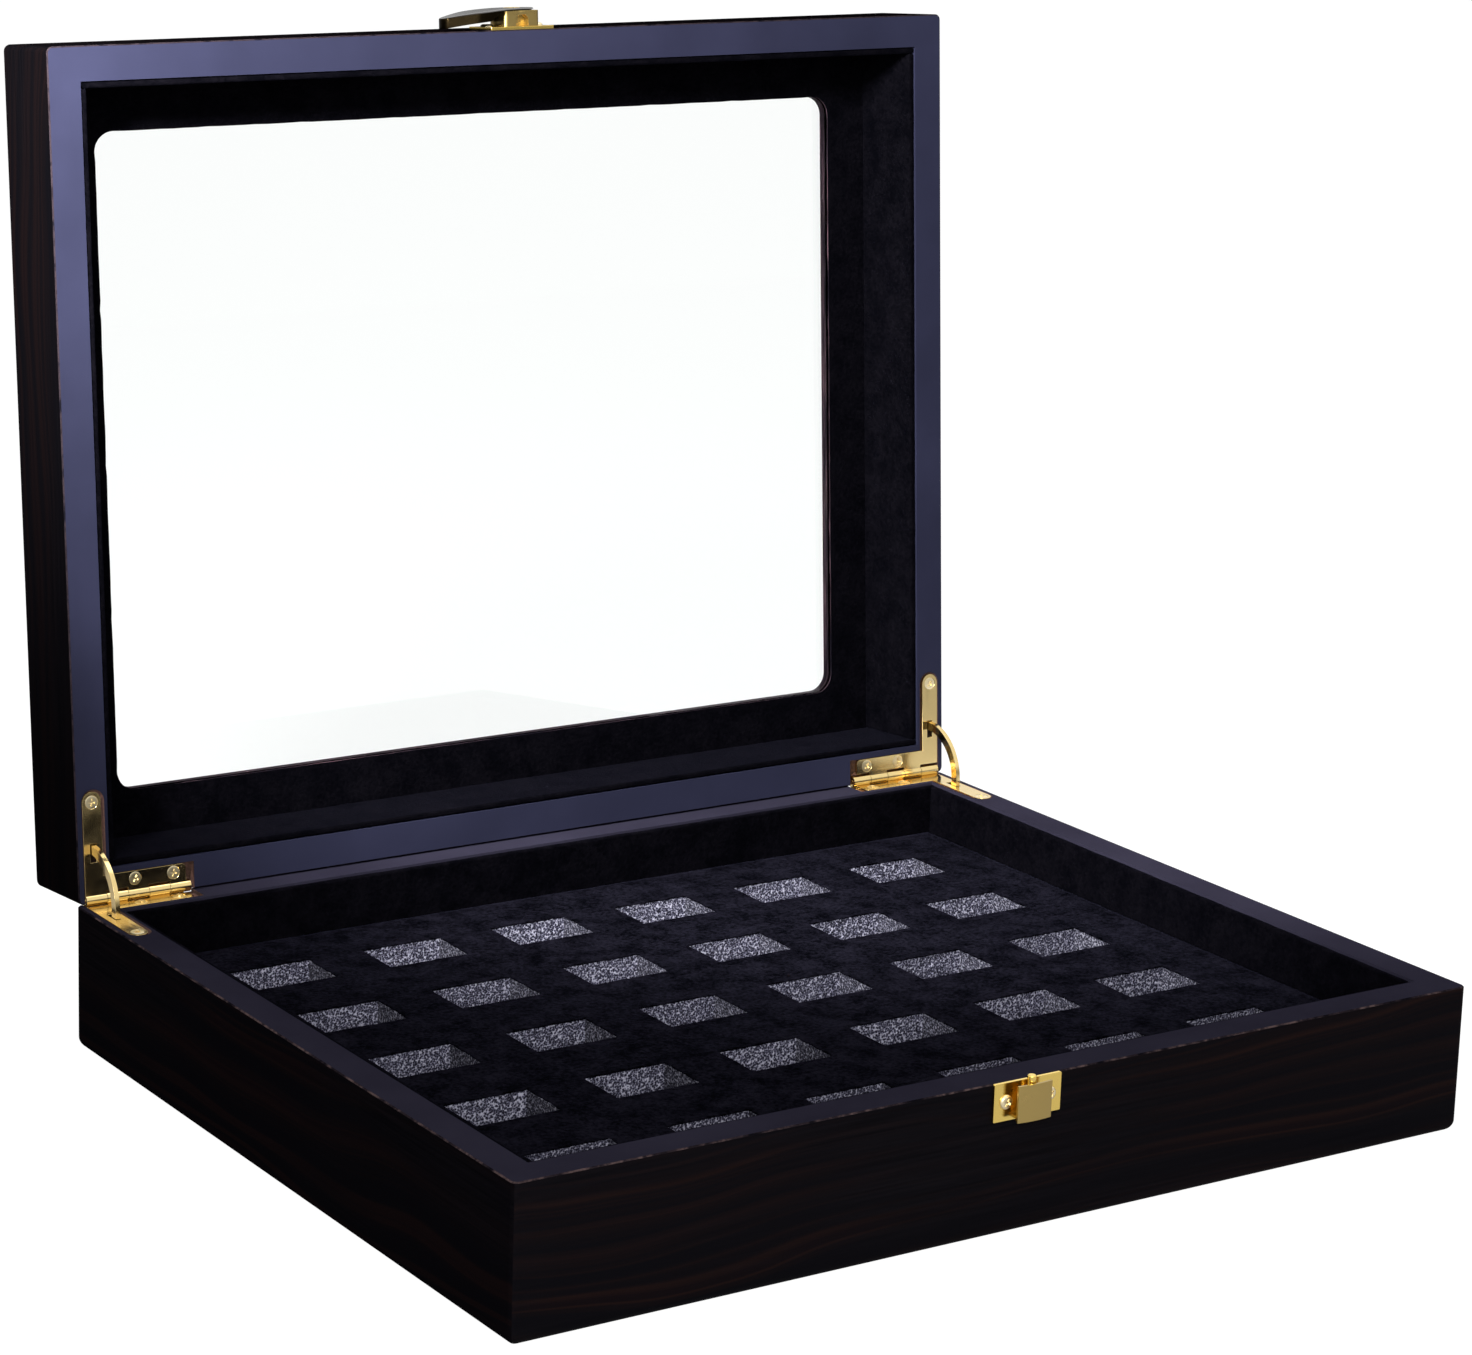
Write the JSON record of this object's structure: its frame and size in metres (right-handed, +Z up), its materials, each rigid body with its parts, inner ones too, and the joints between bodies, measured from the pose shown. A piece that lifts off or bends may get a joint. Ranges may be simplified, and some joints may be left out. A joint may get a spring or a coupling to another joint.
{
  "type": "ring display case",
  "caption": "Hinged wooden display case with a glazed lid, velvet linings, a slotted foam insert, two quadrant hinges with stays and a swing lever clasp.",
  "frame": {"origin": "middle of the underside of the base", "axes": "+X to the right along the front, +Y to the back where the hinges are, +Z up"},
  "size_m": [0.34, 0.3268, 0.326],
  "materials": {
    "ebony_veneer": "satin lacquered striped ebony veneer on fibreboard, with smooth black lacquered rims",
    "board": "raw fibreboard",
    "velvet": "short pile black velvet",
    "felt": "black wool felt",
    "foam": "charcoal open cell foam",
    "glass": "clear float glass",
    "polished_gold": "mirror polished, lacquered brass",
    "satin_gold": "satin brass plate",
    "screw_steel": "brass plated screw"
  },
  "bodies": {
    "base": {"base_front_wall": "ebony_veneer", "base_front_lining": "velvet", "base_back_wall": "ebony_veneer", "base_back_lining": "velvet", "base_left_wall": "ebony_veneer", "base_left_lining": "velvet", "base_right_wall": "ebony_veneer", "base_right_lining": "velvet", "base_bottom_panel": "board", "base_underside_felt": "felt", "foam_insert": "foam", "velvet_top_sheet": "velvet", "left_hinge_base_leaf": "polished_gold", "left_hinge_pin": "polished_gold", "left_hinge_base_screws": "screw_steel", "right_hinge_base_leaf": "polished_gold", "right_hinge_pin": "polished_gold", "right_hinge_base_screws": "screw_steel", "clasp_base_plate": "satin_gold", "clasp_keeper": "satin_gold", "clasp_peg": "satin_gold", "clasp_base_screws": "screw_steel"},
    "lid": {"clasp_hub": "satin_gold", "clasp_lid_plate": "satin_gold", "clasp_lid_screws": "screw_steel", "clasp_rivet": "satin_gold", "glass_pane": "glass", "left_hinge_lid_leaf": "polished_gold", "left_hinge_lid_screws": "screw_steel", "lid_back_lining": "velvet", "lid_back_wall": "ebony_veneer", "lid_front_lining": "velvet", "lid_front_wall": "ebony_veneer", "lid_left_lining": "velvet", "lid_left_wall": "ebony_veneer", "lid_right_lining": "velvet", "lid_right_wall": "ebony_veneer", "lid_top_panel": "ebony_veneer", "right_hinge_lid_leaf": "polished_gold", "right_hinge_lid_screws": "screw_steel", "window_lining_board": "velvet"},
    "left_stay": {"left_hinge_stay": "polished_gold"},
    "right_stay": {"right_hinge_stay": "polished_gold"},
    "clasp_lever": {"clasp_lever": "satin_gold"}
  },
  "joints": [
    {"name": "lid_hinge", "type": "hinge", "parent": "base", "child": "lid", "pos_m": [0, 0.13385, 0.0485], "axis": [1, 0, 0], "range_deg": [0, 94.35]},
    {"name": "left_stay_swing", "type": "hinge", "parent": "base", "child": "left_stay", "pos_m": [-0.1645, 0.13385, 0.0485], "axis": [1, 0, 0], "range_deg": [0, 47.17]},
    {"name": "right_stay_swing", "type": "hinge", "parent": "base", "child": "right_stay", "pos_m": [0.1645, 0.13385, 0.0485], "axis": [1, 0, 0], "range_deg": [0, 47.17]},
    {"name": "clasp_swing", "type": "hinge", "parent": "lid", "child": "clasp_lever", "pos_m": [0, 0.16003, 0.31614], "axis": [0, 0.0758, 0.9971], "range_deg": [0, 90]}
  ],
  "couplings": [
    {"joint": "left_stay_swing", "follows": "lid_hinge", "ratio": 0.5},
    {"joint": "right_stay_swing", "follows": "lid_hinge", "ratio": 0.5}
  ]
}
